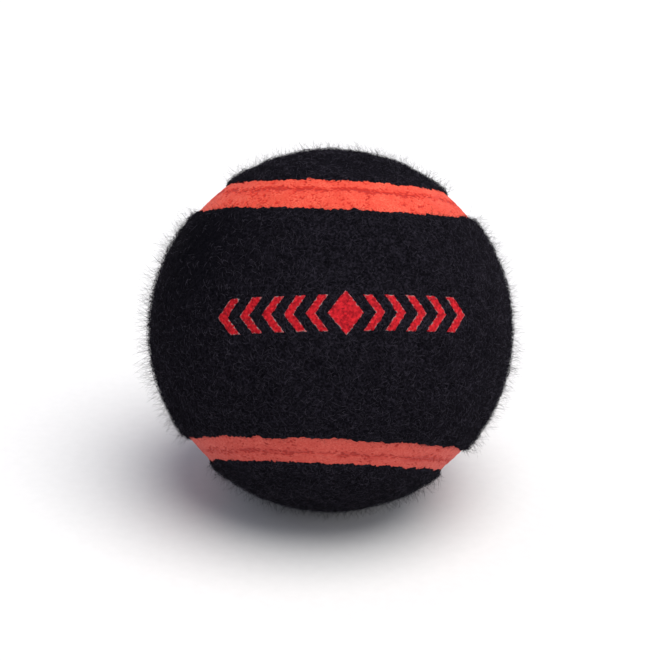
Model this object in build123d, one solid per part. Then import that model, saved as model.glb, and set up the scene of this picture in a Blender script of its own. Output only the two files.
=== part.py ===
from build123d import *
import os
from math import atan, atan2, cos, degrees, radians, sin, sqrt

# A felt-covered hollow rubber ball, lying on level ground: two felt dogbone panels, the rubber seam between
# their edges, and a rubber core of two halves. The origin is the centre of the ball and +Z is up.
# Lengths are in mm and angles in degrees.

# Radii of the layers, from the outside in
BALL_R = 33.4
SEAM_R = 32.75
COVER_R = 30.1
CORE_R = 29.9
CAVITY_R = 26.4

# Seam: half of the front panel's waist, and half of the seam's width, as angles seen from the centre
WAIST = 41.8
SEAM_HALF = 5.6  # at the seam's surface
SEAM_FOOT_HALF = 5.2  # at the foot of the felt, whose cut edge leans back a little
SHOULDER_R = 0.8  # rounding of the nap along the seam, springing from the seam's surface
JOINT_DEPTH = 0.22  # groove where the two rubber beads meet
JOINT_HALF = 0.3

# Cement between the core halves
JOINT_GAP = 0.3
SQUEEZE_R = 0.45

# Transfer print: a diamond between two rows of chevrons
PRINT_DEPTH = 0.12
PRINT_LENGTH = 42.0
DIAMOND_W = 6.0
DIAMOND_H = 7.6
CHEVRON_H = 6.0
CHEVRON_STROKE = 1.6
CHEVRON_POINT = 2.1
CHEVRONS_A_SIDE = 5
PRINT_TURN = 4.0  # around the ball, off the middle of the waist
PRINT_RISE = 1.9
PRINT_SLANT = 3.3

# How the ball lies: the waist of the front panel faces this much above the level
LYING_TILT = 25.2

# The seam is four arcs of one angular radius, each about the centre of a panel's lobe. They meet tangentially at
# (+-1, 0, +-1), which sets the radius from the waist.
LOBE_R = degrees(atan((sqrt(2) - sin(radians(WAIST))) / cos(radians(WAIST))))
LOBE_Y = -cos(radians(WAIST + LOBE_R))
LOBE_S = sin(radians(WAIST + LOBE_R))
ARC_HALF = degrees(atan2(1, LOBE_Y))


def polar(radius, angle):
    """A point in a plane through a lobe's axis, at an angle from that axis."""
    return Vector(radius * sin(radians(angle)), radius * cos(radians(angle)))


def radial_arc(radius, start, end):
    """An arc about the ball's centre, from one angle to another."""
    return ThreePointArc(polar(radius, start), polar(radius, (start + end) / 2), polar(radius, end))


def wall(side):
    """The felt's cut edge on one side of the seam, from its foot to the seam's surface."""
    return polar(COVER_R, LOBE_R + side * SEAM_FOOT_HALF), polar(SEAM_R, LOBE_R + side * SEAM_HALF)


def shoulder(side):
    """One side of the seam's channel: the felt's edge and the rounded shoulder of the nap, run out at both ends."""
    foot, spring = wall(side)
    upward = (spring - foot).normalized()
    across = Vector(upward.Y, -upward.X) * side
    hub = spring + across * SHOULDER_R
    middle = hub + (upward - across) * (SHOULDER_R / sqrt(2))
    crown = hub + upward * SHOULDER_R
    below = foot - upward
    above = crown + upward
    return [Line(below, spring), ThreePointArc(spring, middle, crown), Line(crown, above)], below, above


def channel_profile():
    near, near_bottom, near_top = shoulder(-1)
    far, far_bottom, far_top = shoulder(1)
    return make_face([*near, *far, Line(near_bottom, far_bottom), Line(near_top, far_top)])


def bead_profile(side):
    """Half of the seam, from the joint in its middle to the felt on one side."""
    joint = LOBE_R
    joint_edge = LOBE_R + side * degrees(JOINT_HALF / SEAM_R)
    groove = polar(SEAM_R - JOINT_DEPTH, joint)
    return make_face(
        [
            Line(polar(COVER_R, joint), groove),
            Line(groove, polar(SEAM_R, joint_edge)),
            radial_arc(SEAM_R, joint_edge, LOBE_R + side * SEAM_HALF),
            Line(*wall(side)),
            radial_arc(COVER_R, LOBE_R + side * SEAM_FOOT_HALF, joint),
        ]
    )


def along_seam(back_lobe_profile, front_lobe_profile):
    """A closed strip along the whole seam. Each profile is turned about two of the four lobes."""
    strip = []
    for sign in (1, -1):
        back_lobe = Plane(
            origin=(0, 0, 0),
            x_dir=(0, -LOBE_S, sign * LOBE_Y),
            z_dir=(0, LOBE_Y, sign * LOBE_S),
        )
        front_lobe = Plane(
            origin=(0, 0, 0),
            x_dir=(sign * LOBE_Y, LOBE_S, 0),
            z_dir=(sign * LOBE_S, -LOBE_Y, 0),
        )
        for plane, profile in ((back_lobe, back_lobe_profile), (front_lobe, front_lobe_profile)):
            section = Plane.XZ * profile
            turned = revolve(section, axis=Axis.Z, revolution_arc=2 * ARC_HALF)
            strip.append(plane * (Rot(0, 0, -ARC_HALF) * turned))
    return strip[0].fuse(*strip[1:])


def spherical_shell(outer, inner):
    return Sphere(outer) - Sphere(inner)


def lying(shape):
    """The ball as it lies, with the front panel's waist tilted up."""
    return Rot(-LYING_TILT, 0, 0) * shape


def felt_panels():
    """The front and the back dogbone, front first."""
    channel = along_seam(channel_profile(), channel_profile())
    panels = (spherical_shell(BALL_R, COVER_R) - channel).solids()
    return sorted(panels, key=lambda panel: panel.center().Y)


def seam_beads():
    """The bead on the front panel's edge and the bead on the back panel's edge."""
    front = along_seam(bead_profile(1), bead_profile(-1))
    back = along_seam(bead_profile(-1), bead_profile(1))
    return front, back


def core_half(sign):
    block = Pos(0, 0, sign * (JOINT_GAP / 2 + BALL_R)) * Box(2 * BALL_R, 2 * BALL_R, 2 * BALL_R)
    return spherical_shell(CORE_R, CAVITY_R) & block


def core_joint_cement():
    slab = spherical_shell(CORE_R, CAVITY_R) & Box(2 * BALL_R, 2 * BALL_R, JOINT_GAP)
    squeeze_out = Torus(CAVITY_R, SQUEEZE_R) & Sphere(CAVITY_R)
    return slab + squeeze_out


def chevron(point_x, direction):
    """An arrowhead stroke whose point faces along X."""
    half = CHEVRON_H / 2
    tail = point_x - direction * CHEVRON_POINT
    back = direction * CHEVRON_STROKE
    return make_face(
        Polyline(
            (point_x, 0),
            (tail, half),
            (tail - back, half),
            (point_x - back, 0),
            (tail - back, -half),
            (tail, -half),
            close=True,
        )
    )


def print_outlines():
    outlines = [
        make_face(
            Polyline(
                (DIAMOND_W / 2, 0),
                (0, DIAMOND_H / 2),
                (-DIAMOND_W / 2, 0),
                (0, -DIAMOND_H / 2),
                close=True,
            )
        )
    ]
    pitch = (PRINT_LENGTH - DIAMOND_W) / 2 / CHEVRONS_A_SIDE
    for direction in (1, -1):
        for step in range(1, CHEVRONS_A_SIDE + 1):
            outlines.append(chevron(direction * (DIAMOND_W / 2 + step * pitch), direction))
    return outlines


def transfer_print():
    """The marks, cut from a thin shell that lies on the nap."""
    skin = spherical_shell(BALL_R + PRINT_DEPTH, BALL_R)
    front_view = Plane(origin=(0, -BALL_R / 2, 0), x_dir=(1, 0, 0), z_dir=(0, -1, 0))
    marks = []
    for outline in print_outlines():
        block = extrude(front_view * outline, amount=BALL_R)
        marks += (block & skin).solids()
    return Rot(-PRINT_RISE, 0, PRINT_TURN) * (Rot(0, -PRINT_SLANT, 0) * Compound(children=marks))


def main():
    felt_front, felt_back = felt_panels()
    bead_front, bead_back = seam_beads()
    nodes = {
        "felt_panel_front": lying(felt_front),
        "felt_panel_back": lying(felt_back),
        "seam_bead_front": lying(bead_front),
        "seam_bead_back": lying(bead_back),
        "transfer_print": lying(transfer_print()),
        "cover_cement": spherical_shell(COVER_R, CORE_R),
        "core_half_upper": core_half(1),
        "core_half_lower": core_half(-1),
        "core_joint_cement": core_joint_cement(),
    }
    os.makedirs("parts", exist_ok=True)
    for name, shape in nodes.items():
        export_step(shape, f"parts/{name}.step")


main()
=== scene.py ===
from itertools import product
from math import atan, atan2, cos, pi, radians, sin, sqrt

import bpy
import numpy as np
from mathutils import Matrix, Vector
from mathutils.geometry import delaunay_2d_cdt


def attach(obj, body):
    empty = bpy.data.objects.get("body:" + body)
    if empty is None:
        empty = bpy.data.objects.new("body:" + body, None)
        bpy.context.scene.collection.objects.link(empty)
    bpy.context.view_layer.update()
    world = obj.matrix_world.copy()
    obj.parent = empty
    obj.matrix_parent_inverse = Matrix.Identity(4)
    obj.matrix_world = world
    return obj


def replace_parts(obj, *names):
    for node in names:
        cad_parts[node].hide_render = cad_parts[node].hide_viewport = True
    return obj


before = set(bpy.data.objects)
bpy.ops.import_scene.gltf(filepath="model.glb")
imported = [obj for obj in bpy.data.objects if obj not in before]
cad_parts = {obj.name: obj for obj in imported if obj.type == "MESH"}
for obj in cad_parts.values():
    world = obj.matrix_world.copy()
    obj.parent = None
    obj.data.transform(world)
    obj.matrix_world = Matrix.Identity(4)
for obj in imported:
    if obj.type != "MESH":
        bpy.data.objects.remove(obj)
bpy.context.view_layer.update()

# A ball of napped felt with a rubber seam. Everything is worked out in the seam's own frame, where the front
# panel's waist faces -Y and its length runs along X, and is tilted as the ball lies only when a mesh is made.
# Lengths are in metres and angles in radians, unless a name or a note says millimetres. Directions are unit
# vectors from the ball's centre.
MM = 0.001

# Seam, as in the CAD model, and how the felt was laid beside it
WAIST = radians(41.8)  # half of the front panel's waist, to the middle of the seam
SEAM_HALF = radians(5.6)
SEAM_FOOT_HALF = radians(5.2)
SEAM_DRIFT = radians(1.35)  # the hand-laid panels part a little further at the top than at the bottom
WIDE_CORNER = (0.75, -0.21, 0.63)  # where the front panel was laid a little too far over the seam
WIDE_BY_MM = 1.3
WIDE_REACH = 0.3  # as a share of the ball's radius
LYING_TILT = radians(25.2)

# The seam's middle is four arcs on the ball, each on a circle about one lobe of a panel. These are that
# circle's radius as an angle, the parts of a back lobe's middle along Y and along Z, and half of the turn
# that an arc takes. A front lobe's middle has the first part negative, and the second along X.
LOBE_R = atan((sqrt(2) - sin(WAIST)) / cos(WAIST))
LOBE_Y = -cos(WAIST + LOBE_R)
LOBE_S = sin(WAIST + LOBE_R)
ARC_HALF = atan2(1, LOBE_Y)


def reach(node):
    """Nearest and furthest distance of a CAD node's points from the ball's centre."""
    far = np.array([v.co.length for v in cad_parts[node].data.vertices])
    return far.min(), far.max()


FOOT_R, BALL_R = reach("felt_panel_front")
SEAM_R = reach("seam_bead_front")[1]

# Felt
NAP_BODY = 0.25 * MM  # how far the dense felt lies under the tips of the nap
SHOULDER_REACH = 1.3 * MM  # how far in from its edge the felt rounds off, and by how much
SHOULDER_DROP = 0.34 * MM
FELT_POINT_GAP = 0.32 * MM
UNDERSIDE_POINT_GAP = 1.5 * MM
EDGE_POINTS = 2600
SHOULDER_STEPS = 8
FIBRE_SPREAD = 1.1  # how far fibres turn from the lie of the nap
STRAY_REACH = 0.3 * MM  # how far over the felt's edge any fibre may lie
STRAYS_KEPT = 0.05  # shares of the fibres that lie further over the edge, and over the print
PRINTED_OVER_KEPT = 0.07
# Painted shade on the upper left and on top, where fewer fibres are kept and the felt is blacker: a
# direction, its width as a share of the radius, and the share of fibres gone
SHADED_NAP = (
    ((-0.75, -0.55, 0.38), 0.5, 0.85),
    ((0.0, -0.24, 0.96), 0.45, 0.4),
)

# Seam rubber
SEAM_POINTS = 2600
SEAM_TOP_STEPS = 27
SEAM_UNDERLAP = 0.45 * MM
# Painted shade: pits deeper than this are coloured darker, on top of the shade their depth casts.
FLUSH_PIT = 0.04  # pit depths in millimetres up to this redden the rubber, and deeper ones darken it
GROOVE_MM = 0.1
CRUMB_MM = 0.14
PINHOLE_MM = 0.06
CREEP_MM = 0.13  # how far the rubber climbs the felt's edge, and over what width
CREEP_REACH = 0.8 * MM
UPPER_TONES = (  # low and high patches, the ground between grains, shallow pits, deep pits
    (0.6, 0.065, 0.033), (0.7, 0.12, 0.067), (0.58, 0.04, 0.021), (0.53, 0.028, 0.014), (0.31, 0.006, 0.004),
)
# Painted shade and fill light: the tones low on the ball are duller and pinker, as the rubber looks in shade
# and bluish light from below.
SHADED_LOWER_TONES = (
    (0.52, 0.078, 0.054), (0.6, 0.115, 0.083), (0.48, 0.05, 0.037), (0.43, 0.04, 0.03), (0.33, 0.024, 0.019),
)
UPPER_AT, LOWER_AT = 20 * MM, -6 * MM  # heights between which one set of tones gives way to the other

# Print, as in the CAD model
PRINT_LENGTH = 42.0 * MM
DIAMOND_W = 6.0 * MM
DIAMOND_H = 7.6 * MM
CHEVRON_H = 6.0 * MM
CHEVRON_STROKE = 1.6 * MM
CHEVRON_POINT = 2.1 * MM
CHEVRONS_A_SIDE = 5
PRINT_TURN = radians(4.0)
PRINT_RISE = radians(1.9)
PRINT_SLANT = radians(3.3)
PRINT_POINT_GAP = 0.13 * MM
PRINT_FILM = 0.07 * MM

# Camera and light
VIEW_ELEVATION = radians(22)
VIEW_ROLL = radians(2.3)
VIEW_DISTANCE = 8 * BALL_R
VIEW_ASIDE = -0.18 * MM  # the ball sits just right of the middle of the picture
LENS = 78.4 * MM
LAMP_COLOUR = (1.02, 1.0, 0.95)
OVERHEAD = ((0.23, -0.275, 1), 3.37, radians(49.7))  # where a lamp shines from, its strength and its width
SIDE = ((1, -0.45, 0.22), 0.97, radians(50))
SKY_COLOUR = (0.96, 0.975, 1.14)
SKY_STRENGTH = 0.475
FLOOR_HALF = 6.0


# ---------------------------------------------------------------- geometry of the ball


def unit(v):
    """Vectors scaled to a length of 1."""
    return v / np.linalg.norm(v, axis=-1, keepdims=True)


def noise(points, size, seed=0):
    """Smooth noise from -1 to 1, in cells of the given size. The large numbers only scramble the cells."""
    scaled = points / size + 31.7 * (seed + 1)
    cell = np.floor(scaled).astype(np.int64)
    part = scaled - cell
    part = part * part * (3 - 2 * part)
    total = np.zeros(len(points))
    for corner in product((0, 1), repeat=3):
        mixed = (cell + corner) @ np.array([73856093, 19349663, 83492791]) + seed * 2654435761
        mixed = (mixed ^ (mixed >> 13)) * 1274126177 & 0x7FFFFFFF
        mixed = (mixed ^ (mixed >> 15)) * 739982445 & 0x7FFFFFFF
        mixed ^= mixed >> 12
        value = (mixed & 0xFFFF) / 32767.5 - 1
        weight = np.prod(np.where(corner, part, 1 - part), axis=1)
        total += value * weight
    return total


def ramp(value, low, high):
    """0 below low, 1 above high, and smooth between."""
    t = np.clip((value - low) / (high - low), 0, 1)
    return t * t * (3 - 2 * t)


def in_front(u):
    """True where the nearest stretch of seam is one that crosses the front of the ball."""
    return -LOBE_Y * abs(u[:, 0]) - LOBE_S * u[:, 1] + LOBE_Y * abs(u[:, 2]) > 0


def nearest_lobe(u):
    """The centre of the lobe that the nearest stretch of seam runs about."""
    side_x = np.where(u[:, 0] < 0, -1.0, 1.0)
    side_z = np.where(u[:, 2] < 0, -1.0, 1.0)
    nought = np.zeros(len(u))
    back = np.stack([nought, nought + LOBE_Y, side_z * LOBE_S], 1)
    front = np.stack([side_x * LOBE_S, nought - LOBE_Y, nought], 1)
    return np.where(in_front(u)[:, None], back, front)


def seam_offset(u):
    """Angle from the middle of the seam, above 0 on the front panel."""
    polar = np.arccos(np.clip((u * nearest_lobe(u)).sum(1), -1, 1))
    return np.where(in_front(u), polar - LOBE_R, LOBE_R - polar)


def seam_below(u):
    """The nearest direction on the middle of the seam."""
    lobe = nearest_lobe(u)
    across = unit(u - (u * lobe).sum(1, keepdims=True) * lobe)
    return cos(LOBE_R) * lobe + sin(LOBE_R) * across


def seam_direction(along, offset):
    """Directions at a share of the way along the closed seam, from 0 to 1, and an angle off its middle."""
    arc = np.floor(along * 4).astype(int) % 4
    turn = (along * 4 - np.floor(along * 4)) * 2 * ARC_HALF - ARC_HALF
    lobes = np.array([[0, LOBE_Y, LOBE_S], [-LOBE_S, -LOBE_Y, 0], [0, LOBE_Y, -LOBE_S], [LOBE_S, -LOBE_Y, 0]])
    middles = [[0, -LOBE_S, LOBE_Y], [-LOBE_Y, LOBE_S, 0], [0, -LOBE_S, -LOBE_Y], [LOBE_Y, LOBE_S, 0]]
    middles = np.array(middles)
    onward = np.array([[-1, 0, 0], [0, 0, -1], [1, 0, 0], [0, 0, 1]])
    polar = LOBE_R + np.where(arc % 2 == 0, offset, -offset)
    round_it = np.cos(turn)[:, None] * middles[arc] + np.sin(turn)[:, None] * onward[arc]
    return np.cos(polar)[:, None] * lobes[arc] + np.sin(polar)[:, None] * round_it


def felt_edge(seam, side):
    """The uneven angle at which one panel's felt ends, for directions on the middle of the seam."""
    place = seam * BALL_R
    uneven = 0.22 * noise(place, 5 * MM, 3 + side) + 0.25 * noise(place, 1.7 * MM, 7 + side)
    uneven += 0.18 * noise(place, 0.7 * MM, 11 + side) + 0.24 * noise(place, 0.3 * MM, 15 + side)
    if side > 0:
        corner = ((seam - WIDE_CORNER) ** 2).sum(1)
        uneven -= WIDE_BY_MM * np.exp(-corner / WIDE_REACH**2)
    return SEAM_HALF + SEAM_DRIFT * seam[:, 2] + uneven * MM / BALL_R


def into_panel(u, side):
    """How far directions lie inside a panel's uneven edge, in metres, with side 1 for the front panel."""
    return (side * seam_offset(u) - felt_edge(seam_below(u), side)) * BALL_R


# ---------------------------------------------------------------- the print's shapes

PRINT_PLACE = np.array(
    Matrix.Rotation(-PRINT_RISE, 3, "X")
    @ Matrix.Rotation(PRINT_TURN, 3, "Z")
    @ Matrix.Rotation(-PRINT_SLANT, 3, "Y")
)


def print_marks():
    """Each mark as (corners, where it is, which way it points), with 0 for the diamond."""
    half_w, half_h = DIAMOND_W / 2, DIAMOND_H / 2
    marks = [[(half_w, 0), (0, half_h), (-half_w, 0), (0, -half_h)]]
    pitch = (PRINT_LENGTH - DIAMOND_W) / 2 / CHEVRONS_A_SIDE
    for way, step in product((1, -1), range(1, CHEVRONS_A_SIDE + 1)):
        tip = way * (DIAMOND_W / 2 + step * pitch)
        tail = tip - way * CHEVRON_POINT
        back = way * CHEVRON_STROKE
        half = CHEVRON_H / 2
        outline = [(tip, 0), (tail, half), (tail - back, half)]
        outline += [(tip - back, 0), (tail - back, -half), (tail, -half)]
        marks.append(outline if way > 0 else outline[::-1])
    return marks


def on_print(u):
    """True for directions under one of the marks, or within a hair of it."""
    flat = (u @ PRINT_PLACE) * BALL_R
    x, z = abs(flat[:, 0]), abs(flat[:, 2])
    near = 0.1 * MM
    inside = x / (DIAMOND_W / 2 + near) + z / (DIAMOND_H / 2 + near) < 1
    pitch = (PRINT_LENGTH - DIAMOND_W) / 2 / CHEVRONS_A_SIDE
    from_tip = x + CHEVRON_POINT * z / (CHEVRON_H / 2) - DIAMOND_W / 2
    step = np.ceil((from_tip - near) / pitch)
    behind = step * pitch - from_tip
    stroke = (step >= 1) & (step <= CHEVRONS_A_SIDE) & (behind < CHEVRON_STROKE + near)
    inside |= stroke & (z < CHEVRON_H / 2 + near)
    return inside & (flat[:, 1] < 0)


def near_print(u):
    """1 in the strip that the print was pressed into, fading to 0 around it."""
    flat = (u @ PRINT_PLACE) * BALL_R
    beyond = np.maximum(abs(flat[:, 0]) - PRINT_LENGTH / 2, abs(flat[:, 2]) - DIAMOND_H / 2)
    return np.where(flat[:, 1] < 0, 1 - ramp(beyond, 0, 1.5 * MM), 0)


def felt_radius(u):
    """The surface of the dense felt under the loose nap."""
    place = u * BALL_R
    height = 0.08 * noise(place, 6 * MM, 21) + 0.1 * noise(place, 1.9 * MM, 22)
    height += 0.09 * noise(place, 0.85 * MM, 23) + 0.05 * noise(place, 0.45 * MM, 24)
    pressed = near_print(u)
    return BALL_R - NAP_BODY + height * MM * (1 - 0.45 * pressed) - 0.04 * MM * pressed


# ---------------------------------------------------------------- meshes

LIE_DOWN = np.array(Matrix.Rotation(-LYING_TILT, 3, "X"))


def add_piece(name, points, triangles, material, slot, smooth=True):
    """A piece on the ball's one body, from points in the seam's frame."""
    points = points @ LIE_DOWN.T
    points[:, 2] = np.maximum(points[:, 2], -BALL_R)
    mesh = bpy.data.meshes.new(name)
    mesh.vertices.add(len(points))
    mesh.vertices.foreach_set("co", points.astype(np.float32).ravel())
    mesh.loops.add(triangles.size)
    mesh.loops.foreach_set("vertex_index", triangles.astype(np.int32).ravel())
    mesh.polygons.add(len(triangles))
    mesh.polygons.foreach_set("loop_start", np.arange(0, triangles.size, 3, dtype=np.int32))
    mesh.polygons.foreach_set("use_smooth", np.full(len(triangles), smooth))
    mesh.update(calc_edges=True)
    mesh.validate()
    mesh.materials.append(material)
    piece = bpy.data.objects.new(name, mesh)
    bpy.context.scene.collection.objects.link(piece)
    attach(piece, "root")
    return piece


def add_value(piece, name, values):
    """A number for each point of a piece, which its material reads."""
    layer = piece.data.attributes.new(name, "FLOAT", "POINT")
    layer.data.foreach_set("value", values.astype(np.float32))


def strip(first, second):
    """Triangles between two closed rings of the same number of points, given as their indices."""
    a, b, c, d = first, second, np.roll(second, -1), np.roll(first, -1)
    return np.concatenate([np.stack([a, b, c], 1), np.stack([a, c, d], 1)])


def filled(edge, inner):
    """Triangles that fill a flat outline with points inside it: indices count the outline first."""
    flat = [Vector(p) for p in np.concatenate([edge, inner]).tolist()]
    made = delaunay_2d_cdt(flat, [], [list(range(len(edge)))], 1, 1e-12)
    given = np.array([sources[0] for sources in made[3]])
    return given[np.array(made[2])]


def sphere_points(gap):
    """Evenly spread directions, about gap apart on the ball."""
    count = int(4 * pi * BALL_R**2 / (gap**2 * sqrt(3) / 2))
    i = np.arange(count)
    height = 1 - (2 * i + 1) / count
    turn = i * pi * (3 - sqrt(5))
    flat = np.sqrt(1 - height**2)
    return np.stack([flat * np.cos(turn), flat * np.sin(turn), height], 1)


def spread_out(u, side):
    """A flat map of one panel, seen from outside, from directions."""
    return np.stack([side * u[:, 0], u[:, 2]], 1) / (1 - side * u[:, 1:2])


def shoulder_drop(share):
    """How far the nap has rounded off at a share of the shoulder's reach in from the edge."""
    return SHOULDER_DROP * (1 - share) ** 2


def felt_panel(name, side, material):
    """A closed dogbone of felt: its nap, its rounded ragged edge down into the seam, and its underside."""
    along = np.arange(EDGE_POINTS) / EDGE_POINTS
    seam = seam_direction(along, np.zeros(EDGE_POINTS))
    wall = felt_edge(seam, side)
    rings = []
    for step in range(SHOULDER_STEPS + 1):
        share = 1 - (step / SHOULDER_STEPS) ** 0.8
        direction = seam_direction(along, side * (wall + SHOULDER_REACH * share / BALL_R))
        rings.append(direction * (felt_radius(direction) - shoulder_drop(share))[:, None])
    ragged = noise(seam * (BALL_R + 5 * MM), 0.35 * MM, 40 + side) * 0.1 * MM / BALL_R
    for sink, lean in ((0.12, 0.5), (0.5, 0.8)):
        sunk = seam_direction(along, side * (wall + ragged * lean))
        rings.append(sunk * (SEAM_R + 0.05 * MM - sink * MM))
    rings.append(seam_direction(along, np.full(EDGE_POINTS, side * SEAM_FOOT_HALF)) * FOOT_R)

    top = sphere_points(FELT_POINT_GAP)
    top = top[side * seam_offset(top) > SEAM_HALF - 0.6 * MM / BALL_R]
    top = top[into_panel(top, side) > SHOULDER_REACH + 0.12 * MM]
    under = sphere_points(UNDERSIDE_POINT_GAP)
    under = under[side * seam_offset(under) > SEAM_FOOT_HALF + 1 * MM / BALL_R]

    points = np.concatenate([*rings, top * felt_radius(top)[:, None], under * FOOT_R])
    index = np.arange(EDGE_POINTS)
    ringed = len(rings) * EDGE_POINTS
    nap = filled(spread_out(unit(rings[0]), side), spread_out(top, side))
    nap = np.where(nap < EDGE_POINTS, nap, nap - EDGE_POINTS + ringed)
    sole = filled(spread_out(unit(rings[-1]), side), spread_out(under, side))
    last = (len(rings) - 1) * EDGE_POINTS
    sole = np.where(sole < EDGE_POINTS, sole + last, sole - EDGE_POINTS + ringed + len(top))
    walls = [strip(index + k * EDGE_POINTS, index + (k + 1) * EDGE_POINTS) for k in range(len(rings) - 1)]
    walls = np.concatenate(walls)
    if side < 0:
        walls = walls[:, ::-1]
    piece = add_piece(name, points, np.concatenate([nap, sole[:, ::-1], walls]), material, "felt")
    # Painted shade: the felt's material reads this share to blacken the upper left and the top.
    add_value(piece, "worn", nap_shade_thinning(unit(points)))
    return piece


def seam_bead(name, side, material):
    """The rubber on one side of the joint, with its grain and the pits where the two sides met. Heights and
    depths are in millimetres until the rings are made."""
    along = np.arange(SEAM_POINTS) / SEAM_POINTS
    seam = seam_direction(along, np.zeros(SEAM_POINTS))
    place = seam * SEAM_R
    joint = -0.8 - 0.5 * seam[:, 2] + 0.3 * noise(place, 9 * MM, 50) + 0.1 * noise(place, 1.2 * MM, 51)
    joint = joint * MM / SEAM_R
    rim = side * (felt_edge(seam, side) + SEAM_UNDERLAP / SEAM_R)
    worn = ramp(noise(place, 8 * MM, 56), 0.15, 0.6)
    gape = ramp(noise(place, 1.1 * MM, 52) + 0.5 * noise(place, 5 * MM, 53), 0.1, 0.8) * (1 - 0.6 * worn)
    crumbly = ramp(seam[:, 2], 0, 0.5)
    rings, pits = [], []
    for step in range(SEAM_TOP_STEPS + 1):
        share = (step / SEAM_TOP_STEPS) ** 1.12
        offset = joint + (rim - joint) * share
        direction = seam_direction(along, offset)
        spot = direction * SEAM_R
        drawn = place / 1.8 + spot - place
        away = (offset - joint) * SEAM_R / MM
        groove = GROOVE_MM * gape * np.exp(-((away / (0.08 + 0.06 * gape)) ** 2))
        near_joint = np.exp(-((away / 0.75) ** 2))
        crumbs = noise(drawn, 0.2 * MM, 54) + 0.5 * noise(drawn, 0.8 * MM, 55)
        crumbs = ramp(crumbs + (0.62 + 0.16 * crumbly) * near_joint + 0.12 * crumbly - 0.25 * worn, 0.55, 0.9)
        flush = ramp(noise(drawn, 0.6 * MM, 62) + near_joint, 0.3, 1.3)
        pinholes = ramp(noise(spot, 0.24 * MM, 61), 0.68, 0.9)
        depth = np.maximum(groove, CRUMB_MM * crumbs) + PINHOLE_MM * pinholes * (1 - worn)
        lumps = 0.035 * noise(spot, 0.24 * MM, 57) + 0.055 * noise(drawn, 0.42 * MM, 58)
        swell = 0.05 * noise(spot, 2.2 * MM, 59) + 0.05 * noise(spot, 6 * MM, 60)
        creep = CREEP_MM * np.exp(-(((rim - offset) * SEAM_R / CREEP_REACH) ** 2))
        height = swell + lumps * (1 - 0.4 * worn) + creep - depth
        rings.append(direction * (SEAM_R - 0.05 * MM + height * MM)[:, None])
        pits.append(np.maximum(depth, FLUSH_PIT * flush))
    for radius, share in ((SEAM_R - 1.2 * MM, 1), (FOOT_R, 0.9), (FOOT_R, 0.5), (FOOT_R, 0)):
        rings.append(seam_direction(along, joint + (rim - joint) * share) * radius)
        pits.append(np.zeros(SEAM_POINTS))
    index = np.arange(SEAM_POINTS)
    count = len(rings)
    faces = [strip(index + k * SEAM_POINTS, index + (k + 1) % count * SEAM_POINTS) for k in range(count)]
    faces = np.concatenate(faces)
    if side > 0:
        faces = faces[:, ::-1]
    piece = add_piece(name, np.concatenate(rings), faces, material, "seam_rubber")
    add_value(piece, "pit", np.concatenate(pits))
    return piece


def finely(corners, gap):
    """Points about gap apart round a closed outline."""
    corners = np.array(corners)
    line = []
    for start, end in zip(corners, np.roll(corners, -1, axis=0)):
        steps = max(2, int(np.linalg.norm(end - start) / gap))
        line.append(start + (end - start) * np.arange(steps)[:, None] / steps)
    return np.concatenate(line)


def from_print(flat):
    """Directions for points on the print's flat drawing."""
    x, z = flat[:, 0] / BALL_R, flat[:, 1] / BALL_R
    return np.stack([x, -np.sqrt(1 - x * x - z * z), z], 1) @ PRINT_PLACE.T


def print_film(name, material):
    """The printed marks: thin film that follows the pressed nap, with a ragged pale rim."""
    points, faces, rims, start = [], [], [], 0
    for corners in print_marks():
        edge = finely(corners, PRINT_POINT_GAP)
        outward = np.roll(edge, -1, axis=0) - np.roll(edge, 1, axis=0)
        outward = unit(np.stack([outward[:, 1], -outward[:, 0]], 1))
        wander = np.stack([edge[:, 0], np.zeros(len(edge)), edge[:, 1]], 1)
        ragged = 0.08 * noise(wander, 0.6 * MM, 70) + 0.07 * noise(wander, 0.25 * MM, 72)
        edge = edge + outward * (ragged * MM)[:, None]
        low, high = edge.min(0), edge.max(0)
        across, up = np.meshgrid(
            np.arange(low[0], high[0], PRINT_POINT_GAP), np.arange(low[1], high[1], PRINT_POINT_GAP)
        )
        grid = np.stack([across.ravel(), up.ravel()], 1)
        away = nearest_edge(grid, edge)
        grid = grid[inside_outline(grid, edge) & (away > 0.6 * PRINT_POINT_GAP)]
        flat = np.concatenate([edge, grid])
        u = from_print(flat)
        radius = felt_radius(u) + PRINT_FILM + 0.02 * MM * noise(u * BALL_R, 0.3 * MM, 71)
        radius[: len(edge)] -= 0.04 * MM
        top = filled(edge, grid)
        index = np.arange(len(edge))
        side = strip(index, index + len(flat))
        points += [u * radius[:, None], u * (radius - 0.3 * MM)[:, None]]
        faces += [top + start, top[:, ::-1] + len(flat) + start, side + start]
        rims += [np.concatenate([np.zeros(len(edge)), nearest_edge(grid, edge)])] * 2
        start += 2 * len(flat)
    piece = add_piece(name, np.concatenate(points), np.concatenate(faces), material, "print_film")
    add_value(piece, "rim", np.concatenate(rims) / MM)
    return piece


def nearest_edge(points, edge):
    """Distance from each point to the nearest point of an outline."""
    gaps = np.linalg.norm(points[:, None, :] - edge[None, :, :], axis=2)
    return gaps.min(1)


def inside_outline(points, edge):
    """Even-odd test of points against a closed outline."""
    inside = np.zeros(len(points), bool)
    for (x0, y0), (x1, y1) in zip(edge, np.roll(edge, -1, axis=0)):
        crosses = (y0 > points[:, 1]) != (y1 > points[:, 1])
        if y0 != y1:
            inside ^= crosses & (points[:, 0] < (x1 - x0) * (points[:, 1] - y0) / (y1 - y0) + x0)
    return inside


# ---------------------------------------------------------------- fibres


def roots(side, count, inset, rng):
    """Random places on a panel, at least inset from its edge."""
    found = []
    while sum(map(len, found)) < count:
        u = unit(rng.normal(size=(count, 3)))
        u = u[side * seam_offset(u) > SEAM_HALF - 0.6 * MM / BALL_R]
        u = u[into_panel(u, side) > inset]
        found.append(u)
    return np.concatenate(found)[:count]


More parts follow.
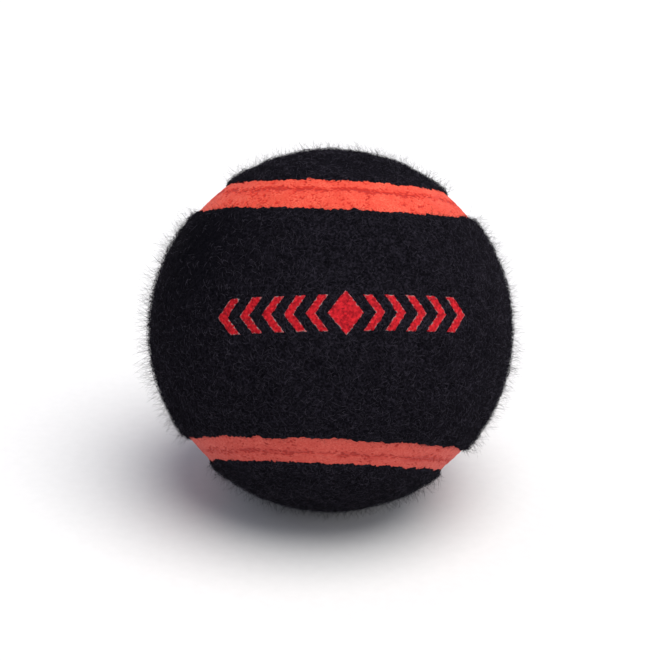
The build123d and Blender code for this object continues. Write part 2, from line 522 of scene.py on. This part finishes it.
def combed(u, rng):
    """A direction along the surface: the nap lies in swirls, with a random turn for each fibre."""
    place = u * BALL_R
    swirl = np.stack([noise(place, 7 * MM, 80 + k) for k in range(3)], 1)
    lie = unit(swirl - (swirl * u).sum(1, keepdims=True) * u)
    turn = rng.normal(0, FIBRE_SPREAD, len(u))[:, None]
    return np.cos(turn) * lie + np.sin(turn) * np.cross(u, lie)


def nap_shade_thinning(u):
    """The share of the nap's fibres that is left out at each place, as painted shade; the felt is blackened
    by the same share.
    """
    return sum(gone * np.exp(-((u - middle) ** 2).sum(1) / wide**2) for middle, wide, gone in SHADED_NAP)


def nap_base(u, side):
    """The surface that a panel's fibres lie on, which rounds off at the panel's edge."""
    return felt_radius(u) - shoulder_drop(np.clip(into_panel(u, side) / SHOULDER_REACH, 0, 1))


def fibres(name, side, count, material, seed, length, rise, thick, steps=3, curl=1.2, up=False):
    """Many separate curved hairs on one panel: arches that lie in the nap, or hairs that stand up. length,
    rise and thick are in millimetres."""
    rng = np.random.default_rng(seed)
    u = roots(side, count, 0.1 * MM, rng)
    heading = combed(u, rng)
    long = length * MM * rng.uniform(0.5, 1.5, count)
    high = rise * MM * (0.2 + 2.6 * rng.random(count) ** 2.2) * (0.8 + 0.4 * abs(u[:, 0]))
    high *= 1 + 0.3 * ramp(-u[:, 0], 0.8, 1)
    # Painted shade: fewer nap fibres on the upper left and on top.
    worn = 0 if up else nap_shade_thinning(u)
    bend = rng.normal(0, curl, count)
    path, covered, astray = [], np.zeros(count, bool), np.zeros(count)
    base = nap_base(u, side)
    for step in range(steps + 1):
        share = step / steps
        lift = high * share**0.7 if up else high * sin(pi * (0.08 + 0.84 * share))
        surface = base if up else nap_base(u, side)
        path.append(u * (surface - 0.06 * MM * (step == 0) + lift)[:, None])
        covered |= on_print(u)
        astray = np.maximum(astray, -into_panel(u, side))
        turn = (bend / steps)[:, None]
        heading = np.cos(turn) * heading + np.sin(turn) * np.cross(u, heading)
        u = unit(u + heading * (long / steps / BALL_R)[:, None])
        heading = unit(heading - (heading * u).sum(1, keepdims=True) * u)
    keep = ~covered | (rng.random(count) < PRINTED_OVER_KEPT)
    keep &= (astray < STRAY_REACH) | (rng.random(count) < STRAYS_KEPT)
    keep &= rng.random(count) >= worn
    path = np.stack(path, 1)[keep]
    return add_piece(name, *hair_mesh(path, thick / 2 * MM), material, "felt", smooth=False)


def hair_mesh(path, radius):
    """Closed three-sided tapering tubes along many paths, as points and triangles."""
    count, rows = path.shape[:2]
    ahead = unit(np.gradient(path, axis=1))
    aside = unit(np.cross(ahead, path))
    upward = np.cross(aside, ahead)
    per = 3 * (rows - 1) + 1
    points = np.empty((count, per, 3))
    for row in range(rows - 1):
        wide = radius * (1 - 0.5 * row / (rows - 1))
        for corner in range(3):
            turn = 2 * pi * corner / 3 + pi / 2
            points[:, 3 * row + corner] = path[:, row] + wide * (
                cos(turn) * aside[:, row] + sin(turn) * upward[:, row]
            )
    points[:, -1] = path[:, -1]
    faces = [(2, 1, 0)]
    for row in range(rows - 2):
        for a, b in ((0, 1), (1, 2), (2, 0)):
            low, high = 3 * row, 3 * row + 3
            faces += [(low + a, low + b, high + b), (low + a, high + b, high + a)]
    tip, ring = per - 1, 3 * (rows - 2)
    faces += [(ring + a, ring + b, tip) for a, b in ((0, 1), (1, 2), (2, 0))]
    faces = np.array(faces)[None, :, ::-1] + (np.arange(count) * per)[:, None, None]
    return points.reshape(-1, 3), faces.reshape(-1, 3)


# ---------------------------------------------------------------- materials


def new_material(name, roughness, specular):
    """A material with its node tree and shader."""
    material = bpy.data.materials.new(name)
    material.use_nodes = True
    shader = material.node_tree.nodes["Principled BSDF"]
    shader.inputs["Roughness"].default_value = roughness
    shader.inputs["Specular IOR Level"].default_value = specular
    return material, material.node_tree, shader


def grain(tree, size, detail=3.0):
    """The value of a noise texture in the object's own coordinates, with features of the given size."""
    places = tree.nodes.new("ShaderNodeTexCoord")
    texture = tree.nodes.new("ShaderNodeTexNoise")
    texture.inputs["Scale"].default_value = 1 / size
    texture.inputs["Detail"].default_value = detail
    tree.links.new(places.outputs["Object"], texture.inputs["Vector"])
    return texture.outputs["Fac"]


def between(tree, value, low, high):
    """The value stretched so that low gives 0 and high gives 1."""
    stretch = tree.nodes.new("ShaderNodeMapRange")
    stretch.inputs["From Min"].default_value = low
    stretch.inputs["From Max"].default_value = high
    tree.links.new(value, stretch.inputs["Value"])
    return stretch.outputs["Result"]


def blend(tree, share, first, second):
    """A colour between two, each a colour or another node's output."""
    mix = tree.nodes.new("ShaderNodeMix")
    mix.data_type = "RGBA"
    tree.links.new(share, mix.inputs["Factor"])
    for socket, colour in ((mix.inputs[6], first), (mix.inputs[7], second)):
        if isinstance(colour, tuple):
            socket.default_value = (*colour, 1)
        else:
            tree.links.new(colour, socket)
    return mix.outputs[2]


def point_value(tree, name):
    """The number that add_value left on each point of the mesh."""
    attribute = tree.nodes.new("ShaderNodeAttribute")
    attribute.attribute_name = name
    return attribute.outputs["Fac"]


def bumped(tree, shader, value, depth):
    """Fine relief in the shader's normal, as deep as given."""
    bump = tree.nodes.new("ShaderNodeBump")
    bump.inputs["Strength"].default_value = 1.0
    bump.inputs["Distance"].default_value = depth
    tree.links.new(value, bump.inputs["Height"])
    tree.links.new(bump.outputs["Normal"], shader.inputs["Normal"])


def felt_material():
    """Dense black felt with paler fibre ends, and blacker on the upper left and on top as painted shade."""
    material, tree, shader = new_material("black_felt", 0.95, 0.02)
    speckle = between(tree, grain(tree, 0.4 * MM, 4), 0.42, 0.7)
    patch = between(tree, grain(tree, 4 * MM, 2), 0.3, 0.7)
    dark = blend(tree, patch, (0.0024, 0.0024, 0.0038), (0.0045, 0.0042, 0.0063))
    tone = blend(tree, speckle, dark, (0.021, 0.0185, 0.0265))
    # Painted shade: blacker on the upper left and on top, by the share the panel leaves on its points.
    tone = blend(tree, point_value(tree, "worn"), tone, (0.0016, 0.0017, 0.003))
    tree.links.new(tone, shader.inputs["Base Color"])
    bumped(tree, shader, grain(tree, 0.16 * MM, 3), 0.08 * MM)
    return material


def fibre_material(name, colour):
    """One shade of dyed fibre, whose gloss varies along it."""
    material, tree, shader = new_material(name, 0.8, 0.04)
    shader.inputs["Base Color"].default_value = (*colour, 1)
    tree.links.new(between(tree, grain(tree, 1 * MM), -2.0, 1.0), shader.inputs["Roughness"])
    return material


def seam_material():
    """Coral rubber, redder in its pits and darker in deep ones as painted shade, and duller and pinker low on
    the ball as painted shade and fill light.
    """
    material, tree, shader = new_material("coral_seam_rubber", 0.8, 0.2)
    cloud = between(tree, grain(tree, 2.5 * MM, 4), 0.3, 0.7)
    fine = between(tree, grain(tree, 0.26 * MM, 4), 0.38, 0.66)
    pit = point_value(tree, "pit")
    flush = between(tree, pit, 0, 1.4 * FLUSH_PIT)
    # Painted shade: the deeper a pit, the nearer its colour comes to the darkest tone.
    dark = between(tree, pit, FLUSH_PIT, 0.2)
    tones = []
    for low, high, ground, flushed, deep in (UPPER_TONES, SHADED_LOWER_TONES):
        coral = blend(tree, fine, ground, blend(tree, cloud, low, high))
        tones.append(blend(tree, dark, blend(tree, flush, coral, flushed), deep))
    places = tree.nodes.new("ShaderNodeTexCoord")
    height = tree.nodes.new("ShaderNodeSeparateXYZ")
    tree.links.new(places.outputs["Object"], height.inputs["Vector"])
    # Painted shade and fill light: the rubber turns to the duller, pinker tones low on the ball.
    painted_low_shade = between(tree, height.outputs["Z"], UPPER_AT, LOWER_AT)
    tree.links.new(blend(tree, painted_low_shade, *tones), shader.inputs["Base Color"])
    shader.inputs["Sheen Weight"].default_value = 0.07
    shader.inputs["Sheen Roughness"].default_value = 0.5
    bumped(tree, shader, grain(tree, 0.12 * MM, 3), 0.03 * MM)
    return material


def print_material():
    """Red film, mottled and worn through in spots, with a pale broken rim."""
    material, tree, shader = new_material("red_print_film", 0.65, 0.1)
    mottle = between(tree, grain(tree, 0.45 * MM, 3), 0.35, 0.7)
    worn = between(tree, grain(tree, 0.22 * MM, 2), 0.68, 0.76)
    red = blend(tree, mottle, (0.23, 0.001, 0.006), (0.56, 0.0115, 0.0195))
    red = blend(tree, worn, red, (0.07, 0.003, 0.006))
    edge = between(tree, point_value(tree, "rim"), 0.2, 0.08)
    patchy = tree.nodes.new("ShaderNodeMath")
    patchy.operation = "MULTIPLY"
    tree.links.new(edge, patchy.inputs[0])
    tree.links.new(between(tree, grain(tree, 0.45 * MM, 3), 0.47, 0.62), patchy.inputs[1])
    tree.links.new(blend(tree, patchy.outputs[0], red, (0.18, 0.16, 0.155)), shader.inputs["Base Color"])
    bumped(tree, shader, grain(tree, 0.25 * MM, 3), 0.03 * MM)
    return material


def rubber_material(name, dark, light):
    """Moulded rubber or dried cement, mottled and a little rough."""
    material, tree, shader = new_material(name, 0.75, 0.4)
    mottle = between(tree, grain(tree, 3 * MM), 0.3, 0.7)
    tree.links.new(blend(tree, mottle, dark, light), shader.inputs["Base Color"])
    bumped(tree, shader, grain(tree, 0.5 * MM), 0.05 * MM)
    return material


# ---------------------------------------------------------------- studio


def add_camera():
    """A camera at the photograph's viewing angle."""
    camera = bpy.data.objects.new("camera", bpy.data.cameras.new("camera"))
    bpy.context.scene.collection.objects.link(camera)
    back = Vector((0, -cos(VIEW_ELEVATION), sin(VIEW_ELEVATION)))
    camera.location = back * VIEW_DISTANCE + Vector((VIEW_ASIDE, 0, 0))
    aim = (-back).to_track_quat("-Z", "Y")
    camera.rotation_mode = "QUATERNION"
    camera.rotation_quaternion = aim @ Matrix.Rotation(VIEW_ROLL, 3, "Z").to_quaternion()
    camera.data.lens = LENS / MM
    camera.data.clip_start = 10 * MM
    bpy.context.scene.camera = camera


def add_floor():
    """A plain pale floor under the ball."""
    material, tree, shader = new_material("studio_floor", 0.9, 0.2)
    tone = between(tree, grain(tree, 2 * MM), 0.3, 0.7)
    tree.links.new(blend(tree, tone, (0.69, 0.69, 0.69), (0.71, 0.71, 0.71)), shader.inputs["Base Color"])
    mesh = bpy.data.meshes.new("floor")
    corners = [(x * FLOOR_HALF, y * FLOOR_HALF, 0) for x, y in ((-1, -1), (1, -1), (1, 1), (-1, 1))]
    mesh.from_pydata(corners, [], [(0, 1, 2, 3)])
    mesh.materials.append(material)
    floor = bpy.data.objects.new("floor", mesh)
    floor.location.z = -BALL_R
    bpy.context.scene.collection.objects.link(floor)


def add_soft_light(name, direction, strength, width):
    """A broad lamp, far away, that shines from the given direction."""
    light = bpy.data.lights.new(name, "SUN")
    light.color = LAMP_COLOUR
    light.energy = strength
    light.angle = width
    lamp = bpy.data.objects.new(name, light)
    lamp.rotation_mode = "QUATERNION"
    lamp.rotation_quaternion = Vector(direction).to_track_quat("Z", "Y")
    bpy.context.scene.collection.objects.link(lamp)


def add_sky(strength):
    """White surroundings, dimmer as light than they look."""
    world = bpy.data.worlds.new("studio")
    world.use_nodes = True
    tree = world.node_tree
    shown = tree.nodes["Background"]
    shown.inputs["Color"].default_value = (1, 1, 1, 1)
    lit = tree.nodes.new("ShaderNodeBackground")
    lit.inputs["Strength"].default_value = strength
    lit.inputs["Color"].default_value = (*SKY_COLOUR, 1)
    path = tree.nodes.new("ShaderNodeLightPath")
    mix = tree.nodes.new("ShaderNodeMixShader")
    tree.links.new(path.outputs["Is Camera Ray"], mix.inputs["Fac"])
    tree.links.new(lit.outputs[0], mix.inputs[1])
    tree.links.new(shown.outputs[0], mix.inputs[2])
    tree.links.new(mix.outputs[0], tree.nodes["World Output"].inputs["Surface"])
    bpy.context.scene.world = world


def studio():
    """Camera, floor and lights."""
    add_camera()
    add_floor()
    add_sky(SKY_STRENGTH)
    add_soft_light("overhead", *OVERHEAD)
    add_soft_light("side", *SIDE)
    bpy.context.scene.view_settings.view_transform = "Standard"


# ---------------------------------------------------------------- the ball

PANELS = ((1, "front"), (-1, "back"))


def felt_cover():
    """The two panels of felt, with their nap and the hairs that stand off it."""
    felt = felt_material()
    shades = {
        "dark": fibre_material("dark_fibre", (0.0035, 0.0032, 0.005)),
        "mid": fibre_material("mid_fibre", (0.0132, 0.012, 0.0168)),
        "pale": fibre_material("pale_fibre", (0.045, 0.0405, 0.054)),
    }
    nap = (("dark", 12000), ("mid", 12000), ("mid", 12000), ("pale", 9000))
    for side, panel in PANELS:
        cover = felt_panel(f"{panel}_felt", side, felt)
        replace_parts(cover, f"felt_panel_{panel}")
        seed = 100 if side > 0 else 200
        for number, (shade, count) in enumerate(nap, 1):
            fibres(f"{panel}_nap_{number}", side, count, shades[shade], seed + number, 1.15, 0.25, 0.06)
        for number in (1, 2):
            name = f"{panel}_loose_hairs_{number}"
            dark = shades["dark"]
            fibres(name, side, 7000, dark, seed + 10 + number, 1.4, 1.0, 0.03, steps=5, curl=2.2, up=True)


def seam():
    """The two beads of seam rubber."""
    rubber = seam_material()
    for side, panel in PANELS:
        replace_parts(seam_bead(f"{panel}_seam_rubber", side, rubber), f"seam_bead_{panel}")


def core():
    """The hidden CAD pieces keep their shapes and get materials."""
    rubber = rubber_material("core_rubber", (0.03, 0.028, 0.027), (0.07, 0.066, 0.063))
    cement = rubber_material("dried_cement", (0.42, 0.33, 0.18), (0.6, 0.5, 0.32))
    for node, material in (
        ("core_half_upper", rubber),
        ("core_half_lower", rubber),
        ("core_joint_cement", cement),
        ("cover_cement", cement),
    ):
        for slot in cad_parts[node].material_slots:
            slot.material = material


studio()
felt_cover()
seam()
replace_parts(print_film("printed_band", print_material()), "transfer_print")
core()
